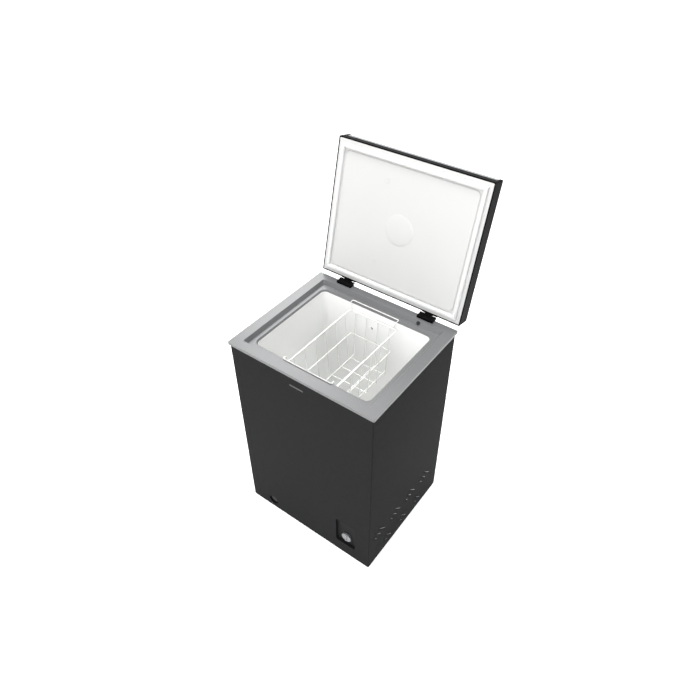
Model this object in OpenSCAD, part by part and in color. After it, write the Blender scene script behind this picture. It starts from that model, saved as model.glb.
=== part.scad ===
// Compact chest freezer with a lift-up lid, a hanging wire basket and a compressor bay low on the right.
// Origin: the floor, under the middle of the cabinet. +X is right, +Y is back, +Z is up.
// The lid is drawn leaning back against its hinge stops, and the basket hangs on the collar's ledges.

/* [Cabinet] */
// Width over the plastic collar
rim_w = 545; // [450:1:660]
// Depth over the plastic collar
rim_d = 462; // [385:1:560]
// Height of the collar's top above the floor
rim_z = 787; // [655:1:950]
// Height of the feet
foot_h = 10; // [6:1:20]
// How far the feet stand in from the steel body's sides
foot_inset = 43; // [30:1:60]
// How far the steel body stands in from the collar's edge
body_inset = 4.5; // [3:0.5:8]
// Outside radius of the steel body's front corners
body_r = 4; // [2:0.5:8]
// Thickness of the steel sheet
sheet = 0.8; // [0.6:0.1:1.2]
// Thickness of the base plate
base_t = 1.2; // [0.8:0.1:2]

/* [Collar] */
// Flat band at each side of the collar
band_side = 35; // [30:1:42]
// Flat band at the front of the collar
band_front = 32; // [30:1:42]
// Flat band at the back of the collar
band_back = 29; // [26:1:34]
// Thickness of the collar's plastic
collar_t = 2.2; // [1.5:0.1:3]
// Height of the collar's outer edge
skirt_h = 10; // [8:1:16]
// How far down the ledge lies
ledge_drop = 14; // [12:1:20]
// How far the wall above the ledge leans in
wall_lean = 8; // [5:0.5:10]
// Width and height of the bevel from the ledge down to the liner
lip = 4.5; // [3:0.5:6]

/* [Liner and insulation] */
// Collar edge to freezing space, at each side
wall_side = 59.5; // [54:0.5:70]
// Collar edge to freezing space, at front and back
wall_end = 59; // [54:0.5:70]
// Thickness of the liner
liner_t = 1; // [0.8:0.1:1.5]
// Radius of the liner's upright corners
liner_r = 18; // [12:1:30]
// Foam under the liner's floor
floor_foam = 58; // [45:1:80]
// Foam between the liner's step and the side of the compressor bay
step_foam_side = 41; // [35:1:60]
// Foam between the liner's step and the roof of the compressor bay
step_foam_top = 45; // [35:1:60]

/* [Compressor bay] */
// Width of the bay
bay_w = 150; // [142:1:180]
// Height of the bay
bay_h = 205; // [190:1:240]
// Radius of the compressor's shell
comp_r = 60; // [50:1:64]
// Height of the compressor's shell
comp_h = 145; // [120:1:155]

/* [Lid] */
// How far the lid's sides stand in from the collar's edge
lid_inset = 2.5; // [1:0.5:5]
// How far the lid's front edge stands in from the collar's edge
lid_front = 4; // [2:0.5:8]
// How far the lid's back edge stands in from the collar's edge
lid_back = 3; // [2:0.5:4]
// Thickness of the lid
lid_t = 48; // [40:1:60]
// Space that the gasket fills between collar and lid
seal_gap = 10; // [8.5:0.5:12]
// Width of the lid's frame around its white panel
lid_frame = 4; // [3:0.5:6]
// Lid edge to the outside of the gasket
gasket_in = 16; // [14.5:0.5:18]
// Width of the gasket
gasket_w = 13; // [10:0.5:14]
// Angle the lid opens to before its hinges stop it
open_angle = 103.4; // [90:0.1:110]

/* [Hinges] */
// Distance from the middle of the cabinet to each hinge
hinge_x = 160; // [120:1:180]
// Width of a hinge
hinge_w = 58; // [50:1:70]
// Radius of the hinge pins
pin_r = 2.5; // [2:0.1:3]

/* [Basket] */
// Width of the basket at the top
basket_w = 186; // [150:1:240]
// Height of the basket
basket_h = 186; // [120:1:200]
// Space between the basket's ends and the liner
basket_gap = 5; // [4:0.5:8]
// Distance from the middle of the cabinet to the middle of the basket
basket_x = -4; // [-40:1:40]
// How far the basket's top wire hangs below the ledge
basket_drop = 30; // [20:1:45]
// Radius of the top wire
frame_wire = 2; // [1.5:0.1:2.5]
// Radius of the other wires
wire = 1.5; // [1:0.1:1.8]
// How far each side of the basket leans in at the bottom
basket_lean = 14.5; // [5:0.5:25]

/* [Controls and drain] */
// Width of the control recess
recess_w = 81; // [70:1:90]
// Height of the control recess
recess_h = 125; // [100:1:140]
// Depth of the control recess
recess_depth = 10; // [6:1:14]
// Radius of the temperature dial
dial_r = 19; // [14:1:24]
// Radius of the drain's recess
drain_r = 20; // [16:1:22]
// Height of the drain above the floor
drain_z = 47; // [38:1:55]
// Distance from the middle of the cabinet to the drain
drain_x = -167; // [-200:1:-150]

/* [Hidden] */

eps = 0.01;
gap = 0.3; // between pieces that move past each other
slip = 0.05; // round a screw or pin

// Steel body
body_w = rim_w - 2 * body_inset;
body_d = rim_d - 2 * body_inset;
in_x = body_w / 2 - sheet;
in_front = -body_d / 2 + sheet;
in_back = body_d / 2 - 2 * sheet;
flange_w = 12;
floor_top = foot_h + base_t;
pan_lip = 15;
plate_z = rim_z - collar_t;

// Collar pocket: the hollow above the ledge
ledge_z = rim_z - ledge_drop;
pocket_w = rim_w - 2 * band_side;
pocket_d = rim_d - band_front - band_back;
pocket_y = (band_front - band_back) / 2;
collar_foot = ledge_z - lip - 1;

// Liner
open_w = rim_w - 2 * wall_side;
open_d = rim_d - 2 * wall_end;
liner_floor = floor_top + floor_foam + liner_t;
liner_rim_w = pocket_w + 2 * collar_t;
liner_rim_d = pocket_d + 2 * collar_t;

// Compressor bay and the step that it makes in the liner
bay_x = in_x - bay_w;
bay_top = floor_top + bay_h;
step_x = bay_x - sheet - step_foam_side - liner_t;
step_z = bay_top + sheet + step_foam_top + liner_t;
comp_x = (bay_x + in_x) / 2;
comp_clear = 50;
mount_x = 50;
mount_y = 62;
comp_y = in_back - comp_clear - mount_y - 16;
grommet_h = 14;
comp_plate_z = floor_top + grommet_h;
comp_plate_t = 2.5;
comp_base = comp_plate_z + comp_plate_t;
bolt_r = 3;

// Tubes round the liner and behind the steel skin
evap_section = [6, 8];
evap_turns = 8;
evap_z0 = step_z + 40;
evap_pitch = (collar_foot - 40 - evap_z0) / (evap_turns - 1);
cond_section = [4, 5];
cond_turns = 6;
cond_z0 = bay_top + 70;
cond_pitch = (plate_z - 60 - cond_z0) / (cond_turns - 1);
cond_end = in_back - 25;
tube_gap = 0.1;

// Lid, drawn closed and then swung open about the hinge pins
lid_w = rim_w - 2 * lid_inset;
lid_d = rim_d - lid_front - lid_back;
lid_y = (lid_front - lid_back) / 2;
lid_z = rim_z + seal_gap;
lid_top = lid_z + lid_t;
lid_front_y = lid_y - lid_d / 2;
lid_back_y = lid_y + lid_d / 2;
lid_skin = 1.5;
panel_fit = 0.2;
panel_edge = gasket_in + gasket_w + 7;
panel_drop = 3;
dome_r = 50;
dome_drop = 2.5;
trim_inset = 10;
trim_z = lid_z + lid_t * 0.55;
trim_lean = 1.5;
trim_depth = 9;
lid_plug_r = 7.5;
lid_plug_h = 1.2;
lid_plug_places = [[-70, -140], [-75, 125]];

// Hinges
axis_y = rim_d / 2 + 3.5;
axis_z = rim_z + 5.2;
knuckle_r = 5;
leaf_knuckle = hinge_w * 0.49;
leaf_w = hinge_w - 2;
leaf_t = 3;
leaf_z0 = axis_z + knuckle_r + 1.8;
leaf_h = 39;
base_front = rim_d / 2 - 18;
base_top = lid_z - 1.7;
base_foot = rim_z - 45;
screw_r = 2;
screw_head_r = 4;
screw_head_h = 2.2;
screw_len = 16;
screw_span = 18;
base_screw_z = rim_z - 32;
leaf_screw_z = leaf_z0 + 24;

// Basket
basket_top = ledge_z - basket_drop;
basket_l = open_d - 2 * basket_gap;
basket_foot = basket_top - basket_h;
corner_r = 8;
weld = 0.7; // how deep a wire is welded into the one it crosses
wire_rise = 0.6; // how far the wires' ends stand above the top wire's middle
long_wires = 4;
long_pitch = 45;
cross_wires = 6;
cross_pitch = 53;
hoop_z = basket_top - basket_h * 0.48;
eye_x = basket_w / 2 - corner_r - 4;
eye_w = 5;
eye_t = 1.8;
handle_w = 182;
handle_reach = 14;
handle_z = ledge_z + wire + gap;

// Front pieces
recess_x = in_x - recess_w / 2 - 58;
recess_z = floor_top + 116.3;
recess_r = 10;
recess_wall = 2;
dial_z = recess_z - 27;
dial_h = 8.5;
recess_floor = in_front + recess_depth;
spindle_r = 3;
badge_z = rim_z - 47;
drain_y = -open_d / 2 + 22;
drain_bore = 7;
drain_wall = 2;
drain_depth = 18;
drain_back = in_front + drain_depth;
vent_first = 76;
vent_pitch = 98;
vent_w = 5.5;

function arc(cx, cy, r, a0, n = 6) =
    [for (i = [0:n]) [cx + r * cos(a0 + 90 * i / n), cy + r * sin(a0 + 90 * i / n)]];

// Rectangle with round corners, as an outline
function outline(w, d, r) = concat(
    arc(w / 2 - r, d / 2 - r, r, 0), arc(r - w / 2, d / 2 - r, r, 90),
    arc(r - w / 2, r - d / 2, r, 180), arc(w / 2 - r, r - d / 2, r, 270));

// Upright block with round corners
module block(w, d, z0, z1, r, y = 0) {
    translate([0, y, z0]) linear_extrude(z1 - z0) polygon(outline(w, d, r));
}

// Box given by its lowest and highest corners
module span(low, high) {
    translate(low) cube(high - low);
}

// Places children at a point, with their +Z turned to face along a to b
module along(a, b) {
    v = b - a;
    translate(a) rotate([0, acos(v.z / norm(v)), atan2(v.y, v.x)]) children();
}

// Straight rod between two points
module rod(a, b, r, sides = 8) {
    along(a, b) cylinder(h = norm(b - a), r = r, $fn = sides);
}

// Bent tube through a list of points, each length run on a little so that the bends close
module pipe(points, r, sides = 10) {
    for (i = [0:len(points) - 2]) {
        a = points[i];
        b = points[i + 1];
        u = (b - a) / norm(b - a);
        head = i == 0 ? 0 : r * 0.9;
        tail = i == len(points) - 2 ? 0 : r * 0.9;
        rod(a - u * head, b + u * tail, r, sides);
    }
}

// Screw along -Y: the head's outside faces +Y
module back_screw(x, y, z, length, r = screw_r, head_r = screw_head_r, head_h = screw_head_h) {
    translate([x, y, z]) rotate([90, 0, 0]) cylinder(h = length, r = r, $fn = 24);
    translate([x, y + head_h, z]) rotate([90, 0, 0]) cylinder(h = head_h, r = head_r, $fn = 24);
}

module screw_hole(x, y0, y1, z, r = screw_r) {
    translate([x, y1, z]) rotate([90, 0, 0]) cylinder(h = y1 - y0, r = r + slip, $fn = 24);
}

module swing_open() {
    translate([0, axis_y, axis_z]) rotate([-open_angle, 0, 0]) translate([0, -axis_y, -axis_z]) children();
}

// ---- Steel body ----

// Slot pressed through the right side, running down towards the back, given by its middle and its length
module vent_slot(y, z, length) {
    translate([in_x - 2, y, floor_top + z]) rotate([45, 0, 0]) translate([0, -vent_w / 2, -length / 2])
        cube([sheet + 4, vent_w, length]);
}

// Three slots above, the first at y, and three below on all but the last group
module vent_group(y, below) {
    vent_slot(y, 149, 56);
    vent_slot(y - 20, 140, 36);
    vent_slot(y - 41, 135, 22);
    if (below) {
        vent_slot(y + 52, 46, 26);
        vent_slot(y + 36, 64, 12);
        vent_slot(y + 28, 44, 14);
    }
}

module cabinet_shell() {
    color("#3c3c3e") difference() {
        block(body_w, body_d, foot_h, plate_z, body_r);
        inside(foot_h - 1, plate_z + 1);
        span([flange_w - body_w / 2, 0, foot_h - 1], [body_w / 2 - flange_w, body_d, plate_z + 1]);
        translate([recess_x, 0, recess_z]) rotate([90, 0, 0]) linear_extrude(body_d)
            polygon(outline(recess_w, recess_h, recess_r));
        translate([drain_x, 0, drain_z]) rotate([90, 0, 0]) cylinder(h = body_d, r = drain_r, $fn = 48);
        for (i = [0:3]) {
            vent_group(in_front + vent_first + vent_pitch * i, i < 3);
        }
    }
}

module rear_panel() {
    opening_x = bay_x + 14;
    half = in_x - body_r;
    color("#9a9c9e") difference() {
        span([-half, in_back, floor_top], [half, in_back + sheet, plate_z]);
        span([opening_x, in_back - 1, floor_top + 18], [in_x - 22, in_back + 2, bay_top - 14]);
        for (side = [-1, 1], dx = [-1, 1]) {
            screw_hole(side * hinge_x + dx * screw_span, in_back - 1, in_back + 2, base_screw_z);
        }
        cover_holes(in_back - 1, in_back + 2);
    }
}

// Everything inside the steel wrap, between two heights, t in from its sides
module inside(z0, z1, t = 0) {
    block(2 * (in_x - t), 2 * (abs(in_front) - t), z0, z1, max(body_r - sheet - t, 1));
}

module base_pan() {
    color("#4a4a4c") difference() {
        inside(foot_h, foot_h + pan_lip);
        inside(floor_top, foot_h + pan_lip + 1, base_t);
        span([-rim_w, in_back - base_t, floor_top], [rim_w, rim_d, rim_z]);
        span([-rim_w, in_back, 0], [rim_w, rim_d, rim_z]);
        at_mounts() translate([0, 0, foot_h - 1]) cylinder(h = base_t + 2, r = bolt_r + slip, $fn = 24);
        at_feet() translate([0, 0, foot_h - 1]) cylinder(h = base_t + 2, r = foot_stub_r + slip, $fn = 24);
    }
}

// Folded sheet that walls the compressor bay off from the foam
module bay_panel() {
    color("#b8babc") difference() {
        intersection() {
            union() {
                span([bay_x - sheet, in_front, floor_top], [bay_x, in_back, bay_top + sheet]);
                span([bay_x, in_front, bay_top], [in_x, in_back, bay_top + sheet]);
            }
            inside(floor_top, rim_z);
        }
        base_lip();
        riser_holes(bay_top - 1, bay_top + sheet + 1);
    }
}

foot_r = 16;
foot_stub_r = 5;

module at_feet() {
    for (sx = [-1, 1], sy = [-1, 1]) {
        translate([sx * (body_w / 2 - foot_inset), sy * (body_d / 2 - foot_inset), 0]) children();
    }
}

module feet() {
    color("#1c1c1e") at_feet() {
        cylinder(h = foot_h, r = foot_r, $fn = 48);
        cylinder(h = foot_h + base_t + 2, r = foot_stub_r, $fn = 24);
    }
}

// ---- Liner, collar and foam ----

// Shape of the freezing space grown by t, with the step over the compressor bay
module tank(t, top) {
    difference() {
        block(open_w + 2 * t, open_d + 2 * t, liner_floor - t, top, liner_r + t);
        span([step_x + t, -rim_d, 0], [rim_w, rim_d, step_z - t]);
    }
}

module drain_hole() {
    translate([drain_x, drain_y, liner_floor - liner_t - 1])
        cylinder(h = liner_t + 2, r = drain_bore + drain_wall + slip, $fn = 40);
}

module liner() {
    rim_w_in = liner_rim_w - 2;
    rim_d_in = liner_rim_d - 2;
    color("#e6e7e6") difference() {
        union() {
            tank(liner_t, collar_foot);
            block(rim_w_in, rim_d_in, collar_foot - liner_t, collar_foot, liner_r, pocket_y);
        }
        tank(0, collar_foot + 1);
        drain_hole();
        translate([sensor_x, 0, sensor_z]) rotate([-90, 0, 0])
            cylinder(h = open_d, r = sensor_stem_r + slip, $fn = 24);
    }
}

module collar() {
    color("#a9aaab") difference() {
        union() {
            block(rim_w, rim_d, plate_z, rim_z, 3);
            difference() {
                block(rim_w, rim_d, rim_z - skirt_h, rim_z - 1, 3);
                block(body_w, body_d, rim_z - skirt_h - 1, rim_z, body_r);
            }
            block(liner_rim_w, liner_rim_d, collar_foot, rim_z - 1, 8, pocket_y);
        }
        pocket();
        block(open_w, open_d, collar_foot - 1, rim_z, liner_r);
        lip_bevel();
        slope_frame() cylinder(h = 30, r = plug_stem_r + slip, center = true, $fn = 24);
    }
}

// Hollow between the rim and the ledge, narrowing downwards
module pocket() {
    hull() {
        block(pocket_w, pocket_d, rim_z, rim_z + 1, 6, pocket_y);
        block(pocket_w - 2 * wall_lean, pocket_d - 2 * wall_lean, ledge_z, ledge_z + eps, 8, pocket_y);
    }
}

module lip_bevel() {
    hull() {
        block(open_w + 2 * lip, open_d + 2 * lip, ledge_z, ledge_z + 1, liner_r + lip);
        block(open_w, open_d, ledge_z - lip - eps, ledge_z - lip, liner_r);
    }
}

// Frame on the collar's back slope: +Z stands off the slope towards the front
plug_x = 148;
plug_r = 6.5;
plug_stem_r = 4;
slope_y = rim_d / 2 - band_back - wall_lean / 2;
slope_z = rim_z - ledge_drop / 2;

module slope_frame() {
    translate([plug_x, slope_y, slope_z]) rotate([90 - atan2(wall_lean, ledge_drop), 0, 0]) children();
}

module collar_plug() {
    color("#17181a") difference() {
        slope_frame() union() {
            cylinder(h = 2, r = plug_r, $fn = 32);
            translate([0, 0, -6]) cylinder(h = 6 + eps, r = plug_stem_r, $fn = 24);
        }
        slope_frame() translate([0, 0, 1]) cylinder(h = 2, r = plug_r / 2, $fn = 24);
    }
}

sensor_x = -14;
sensor_z = rim_z - 91;
sensor_stem_r = 4;
sensor_r = 9;

module sensor_cap() {
    color("#f2f2f0") translate([sensor_x, open_d / 2, sensor_z]) rotate([90, 0, 0]) {
        cylinder(h = 4, r = sensor_r, $fn = 32);
        translate([0, 0, -5]) cylinder(h = 5 + eps, r = sensor_stem_r, $fn = 24);
    }
}

module foam_body() {
    color("#e8d9a0") difference() {
        inside(floor_top, plate_z);
        span([-rim_w, in_back, 0], [rim_w, rim_d, rim_z]);
        block(liner_rim_w, liner_rim_d, collar_foot - liner_t, rim_z, 8, pocket_y);
        tank(liner_t, rim_z);
        span([bay_x - sheet, -rim_d, 0], [rim_w, rim_d, bay_top + sheet]);
        base_lip();
        evaporator_path();
        condenser_path();
        drain_outside(0);
        drain_cup_outside(0);
        slope_frame() translate([0, 0, -7]) cylinder(h = 8, r = plug_stem_r + 1, $fn = 24);
        for (side = [-1, 1], dx = [-1, 1]) {
            screw_hole(side * hinge_x + dx * screw_span, in_back - screw_len, in_back + 1, base_screw_z);
        }
        foam_pipes();
        at_feet() cylinder(h = foot_h + base_t + 3, r = foot_stub_r + slip, $fn = 24);
    }
}

// The base plate's turned-up edges, which the foam fills round
module base_lip() {
    difference() {
        span([-rim_w, -rim_d, 0], [rim_w, in_back, foot_h + pan_lip]);
        inside(0, rim_z, base_t);
    }
}

// ---- Cold and hot tubes ----

// One flat turn of tube round the tank, outside a rectangle w by d
module turn(w, d, r, section, z) {
    difference() {
        block(w + 2 * section.x, d + 2 * section.x, z, z + section.y, r + section.x);
        block(w, d, z - 1, z + section.y + 1, r);
    }
}

evap_w = open_w + 2 * liner_t + 2 * tube_gap;
evap_d = open_d + 2 * liner_t + 2 * tube_gap;
link = evap_section.y;
function link_x(i) = (2 * i - evap_turns) * link;

// Turns joined by a short riser each, the break moving along the back from turn to turn
module evaporator_path() {
    for (i = [0:evap_turns - 1]) {
        z = evap_z0 + i * evap_pitch;
        difference() {
            turn(evap_w, evap_d, liner_r + liner_t, evap_section, z);
            span([link_x(i), 0, z - 1], [link_x(i) + link, rim_d, z + link + 1]);
        }
    }
    for (i = [0:evap_turns - 2]) {
        z = evap_z0 + i * evap_pitch;
        span([link_x(i) + link, evap_d / 2, z], [link_x(i) + 2 * link, evap_d / 2 + evap_section.x,
            z + evap_pitch + evap_section.y]);
    }
}

module evaporator_coil() {
    color("#c9ccd0") evaporator_path();
}

cond_w = 2 * (in_x - tube_gap - cond_section.x);
cond_d = 2 * (abs(in_front) - tube_gap - cond_section.x);

// Open turns along the left, front and right, joined at alternate ends
module condenser_path() {
    for (i = [0:cond_turns - 1]) {
        z = cond_z0 + i * cond_pitch;
        difference() {
            turn(cond_w, cond_d, 6, cond_section, z);
            span([-rim_w, cond_end, z - 1], [rim_w, rim_d, z + cond_section.y + 1]);
        }
    }
    for (i = [0:cond_turns - 2]) {
        z = cond_z0 + i * cond_pitch;
        side = i % 2 == 0 ? -1 : 1;
        x0 = side > 0 ? cond_w / 2 : -cond_w / 2 - cond_section.x;
        span([x0, cond_end - cond_section.y, z], [x0 + cond_section.x, cond_end, z + cond_pitch + eps]);
    }
}

module condenser_coil() {
    color("#b87333") condenser_path();
}

pipe_r = 3;
liquid_r = 2.5;
fine_r = 1.2;
back_y = evap_d / 2 + evap_section.x / 2;
suction_x = bay_x + 30;
capillary_x = bay_x + 16;
hot_y = cond_end - liquid_r;
liquid_y = cond_end + 12;
sensor_rise_x = bay_x + 44;
cond_top = cond_z0 + (cond_turns - 1) * cond_pitch;
evap_top = evap_z0 + (evap_turns - 1) * evap_pitch;
riser_x = in_x - 3;
fine_x = capillary_x + 6;
port_x = 28;
port_y = comp_y + 12;
port_r = 5;
port_h = 34;
port_top = comp_base + comp_h + 4;
port_run = port_top + 12;

function suction_route() = [[comp_x - port_x, port_y, port_top], [comp_x - port_x, port_y, port_run],
    [suction_x, port_y, port_run], [suction_x, back_y, port_run], [suction_x, back_y, evap_z0]];
function discharge_route() = [[comp_x + port_x, port_y, port_top], [comp_x + port_x, port_y, port_run],
    [riser_x, port_y, port_run], [riser_x, hot_y, port_run], [riser_x, hot_y, cond_z0]];
function liquid_route() = [[riser_x, cond_end, cond_top + 2.5], [riser_x, liquid_y, cond_top + 2.5],
    [riser_x, liquid_y, bay_top - 14], [capillary_x, liquid_y, bay_top - 14],
    [capillary_x, drier_y, bay_top - 14], [capillary_x, drier_y, drier_z + drier_h]];
function capillary_route() = [[capillary_x, drier_y, drier_z], [capillary_x, drier_y, drier_z - 14],
    [capillary_x, drier_y + 28, drier_z - 14], [fine_x, drier_y + 28, drier_z - 14],
    [fine_x, drier_y + 28, bay_top - 30], [fine_x, back_y, bay_top - 30], [fine_x, back_y, evap_top]];
function sensor_route() = [[recess_x - 8, thermo_y + 32, dial_z + 6],
    [recess_x - 8, recess_floor + 50, dial_z + 6], [recess_x - 8, recess_floor + 50, bay_top - 8],
    [sensor_rise_x, recess_floor + 50, bay_top - 8], [sensor_rise_x, back_y + 8, bay_top - 8],
    [sensor_rise_x, back_y + 8, sensor_z], [sensor_x, back_y + 8, sensor_z],
    [sensor_x, open_d / 2 + 6, sensor_z]];

drier_r = 9;
drier_h = 80;
drier_z = floor_top + 50;
drier_y = -30;

// Upright runs through the bay's roof
module riser_holes(z0, z1) {
    rod([suction_x, back_y, z0], [suction_x, back_y, z1], pipe_r + slip, 10);
    rod([riser_x, hot_y, z0], [riser_x, hot_y, z1], liquid_r + slip, 10);
    rod([riser_x, liquid_y, z0], [riser_x, liquid_y, z1], liquid_r + slip, 10);
    rod([fine_x, back_y, z0], [fine_x, back_y, z1], fine_r + slip, 10);
    rod([sensor_rise_x, back_y + 8, z0], [sensor_rise_x, back_y + 8, z1], fine_r + slip, 10);
}

module foam_pipes() {
    riser_holes(bay_top, evap_z0);
    rod([riser_x, liquid_y, evap_z0 - 1], [riser_x, liquid_y, cond_top + 5.2], liquid_r + slip, 10);
    rod([riser_x, cond_end - 1, cond_top + 2.5], [riser_x, liquid_y + liquid_r, cond_top + 2.5],
        liquid_r + slip, 10);
    rod([riser_x, hot_y, evap_z0 - 1], [riser_x, hot_y, cond_z0 + 6], liquid_r + slip, 10);
    rod([fine_x, back_y, evap_z0 - 1], [fine_x, back_y, evap_top], fine_r + slip, 10);
    rod([sensor_rise_x, back_y + 8, evap_z0 - 1], [sensor_rise_x, back_y + 8, sensor_z + fine_r],
        fine_r + slip, 10);
    rod([sensor_rise_x + fine_r, back_y + 8, sensor_z], [sensor_x - fine_r, back_y + 8, sensor_z],
        fine_r + slip, 10);
    rod([sensor_x, back_y + 8 + fine_r, sensor_z], [sensor_x, open_d / 2, sensor_z],
        sensor_stem_r + slip, 24);
}

module suction_pipe() {
    color("#b87333") pipe(suction_route(), pipe_r);
}

module discharge_pipe() {
    color("#b87333") pipe(discharge_route(), liquid_r);
}

module liquid_line() {
    color("#b87333") pipe(liquid_route(), liquid_r);
}

module capillary_tube() {
    color("#c07c3c") difference() {
        pipe(capillary_route(), fine_r);
        evaporator_path();
    }
}

module filter_drier() {
    color("#b87333") translate([capillary_x, drier_y, drier_z]) {
        cylinder(h = drier_h, r = drier_r - 3, $fn = 32);
        translate([0, 0, 8]) cylinder(h = drier_h - 16, r = drier_r, $fn = 32);
    }
}

// ---- Compressor ----

module at_mounts() {
    for (sx = [-1, 1], sy = [-1, 1]) {
        translate([comp_x + sx * mount_x, comp_y + sy * mount_y, 0]) children();
    }
}

// Half outline of the welded shell: domed foot and crown, with a seam band between
function shell_half() = concat(
    [[0, 0]],
    [for (a = [-90:15:0]) [comp_r - 22 + 22 * cos(a), 22 + 22 * sin(a)]],
    [[comp_r, comp_h * 0.55], [comp_r + 2, comp_h * 0.55], [comp_r + 2, comp_h * 0.55 + 6],
        [comp_r - 1, comp_h * 0.55 + 6]],
    [for (a = [0:15:90]) [comp_r - 31 + 30 * cos(a), comp_h - 30 + 30 * sin(a)]],
    [[0, comp_h]]);

module compressor() {
    color("#1d1e20") difference() {
        union() {
            translate([comp_x, comp_y, comp_base]) rotate_extrude($fn = 64) polygon(shell_half());
            for (sx = [-1, 1]) {
                translate([comp_x + sx * port_x, port_y, port_top - port_h])
                    cylinder(h = port_h, r = port_r, $fn = 24);
            }
            translate([comp_x, comp_y, 0]) block(2 * mount_x + 26, 2 * mount_y + 26, comp_plate_z,
                comp_base + eps, 12);
        }
        at_mounts() translate([0, 0, comp_plate_z - 1])
            cylinder(h = comp_plate_t + 2, r = grommet_neck + slip, $fn = 32);
    }
}

grommet_r = 11;
grommet_neck = 6;

module compressor_grommets() {
    color("#222222") at_mounts() difference() {
        union() {
            translate([0, 0, floor_top]) cylinder(h = grommet_h, r = grommet_r, $fn = 32);
            translate([0, 0, floor_top])
                cylinder(h = grommet_h + comp_plate_t + 3, r = grommet_neck, $fn = 32);
        }
        translate([0, 0, floor_top - 1]) cylinder(h = 30, r = bolt_r + slip, $fn = 24);
    }
}

bolt_top = comp_base + 3;

module compressor_bolts() {
    color("#a8abb0") at_mounts() {
        translate([0, 0, foot_h - 1.5]) cylinder(h = bolt_top - foot_h + 1.5 + eps, r = bolt_r, $fn = 24);
        translate([0, 0, bolt_top]) cylinder(h = 4, r = 6.5, $fn = 6);
    }
}

relay_y = comp_y - comp_r - 3;
relay_w = 52;
relay_d = 30;

module relay_cover() {
    color("#26282a") span([comp_x - relay_w / 2, relay_y - relay_d, comp_base + 30],
        [comp_x + relay_w / 2, relay_y, comp_base + 92]);
}

// ---- Back of the bay ----

cover_x0 = bay_x + 4;
cover_x1 = body_w / 2 - flange_w - 1;
cover_z0 = floor_top + 8;
cover_z1 = bay_top - 4;
cover_t = 1.5;
cover_y = in_back + sheet;
cover_rows = 7;
cover_slot = 38;
cover_pitch = 17;

module at_cover_screws() {
    for (x = [cover_x0 + 5, cover_x1 - 5], z = [cover_z0 + 5, cover_z1 - 5]) {
        translate([x, 0, z]) children();
    }
}

module cover_holes(y0, y1) {
    at_cover_screws() screw_hole(0, y0, y1, 0, 1.6);
}

module rear_cover() {
    mid = (cover_x0 + cover_x1) / 2;
    color("#2a2b2d") difference() {
        span([cover_x0, cover_y, cover_z0], [cover_x1, cover_y + cover_t, cover_z1]);
        cover_holes(cover_y - 1, cover_y + cover_t + 1);
        for (row = [0:cover_rows - 1], dx = [-1, 1]) {
            translate([mid + dx * (cover_slot / 2 + 5) - cover_slot / 2, cover_y - 1,
                cover_z0 + 62 + row * cover_pitch])
                    cube([cover_slot, cover_t + 2, 6]);
        }
        translate([gland_x, cover_y + 5, gland_z]) rotate([90, 0, 0])
            cylinder(h = 10, r = gland_r + slip, $fn = 32);
    }
}

module cover_screws() {
    color("#c4c6c8") at_cover_screws()
        back_screw(0, cover_y + cover_t, 0, 8, 1.6, 3.2, 1.6);
}

gland_x = cover_x1 - 24;
gland_z = cover_z0 + 28;
gland_r = 7;

module cord_gland() {
    color("#161718") translate([gland_x, cover_y + cover_t, gland_z]) rotate([90, 0, 0]) difference() {
        union() {
            translate([0, 0, -2.5]) cylinder(h = 2.5, r = gland_r + 3, $fn = 40);
            translate([0, 0, -eps]) cylinder(h = cover_t + 3, r = gland_r, $fn = 40);
        }
        translate([0, 0, -3]) cylinder(h = 9, r = 4, $fn = 32);
    }
}

// ---- Controls ----

module control_panel() {
    wall = recess_wall;
    color("#333436") translate([recess_x, in_front, recess_z]) rotate([-90, 0, 0]) difference() {
        union() {
            linear_extrude(1.5) polygon(outline(recess_w + 12, recess_h + 12, recess_r + 4));
            linear_extrude(recess_depth + wall)
                polygon(outline(recess_w + 2 * wall, recess_h + 2 * wall, recess_r + wall));
        }
        translate([0, 0, -1]) linear_extrude(recess_depth + 1) polygon(outline(recess_w, recess_h, recess_r));
        translate([0, recess_z - dial_z, 0])
            cylinder(h = recess_depth + wall + 1, r = spindle_r + 0.6, $fn = 32);
    }
}

thermo_y = recess_floor + recess_wall;

module thermostat_body() {
    color("#d8d9da") difference() {
        union() {
            span([recess_x - 17, thermo_y + 2, dial_z - 15], [recess_x + 17, thermo_y + 32, dial_z + 15]);
            translate([recess_x, thermo_y + 2 + eps, dial_z]) rotate([90, 0, 0])
                cylinder(h = 2, r = 8, $fn = 32);
        }
        translate([recess_x, thermo_y + 12, dial_z]) rotate([90, 0, 0])
            cylinder(h = 20, r = spindle_r + slip, $fn = 32);
    }
}

module thermostat_spindle() {
    color("#c8cacc") translate([recess_x, thermo_y + 11.5, dial_z]) rotate([90, 0, 0])
        cylinder(h = thermo_y + 11.5 - (in_front + recess_depth - gap) + 5.5, r = spindle_r, $fn = 32);
}

module thermostat_dial() {
    y0 = recess_floor - gap;
    color("#b9babb") difference() {
        union() {
            translate([recess_x, y0, dial_z]) rotate([90, 0, 0])
                cylinder(h = dial_h - 3, r = dial_r, $fn = 64);
            span([recess_x - 3.5, y0 - dial_h, dial_z - dial_r + 2],
                [recess_x + 3.5, y0 - 1, dial_z + dial_r - 2]);
        }
        translate([recess_x, y0 + 1, dial_z]) rotate([90, 0, 0])
            cylinder(h = 6.5, r = spindle_r + slip, $fn = 32);
    }
}

module sensor_tube() {
    color("#c8cacc") pipe(sensor_route(), fine_r);
}

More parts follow.
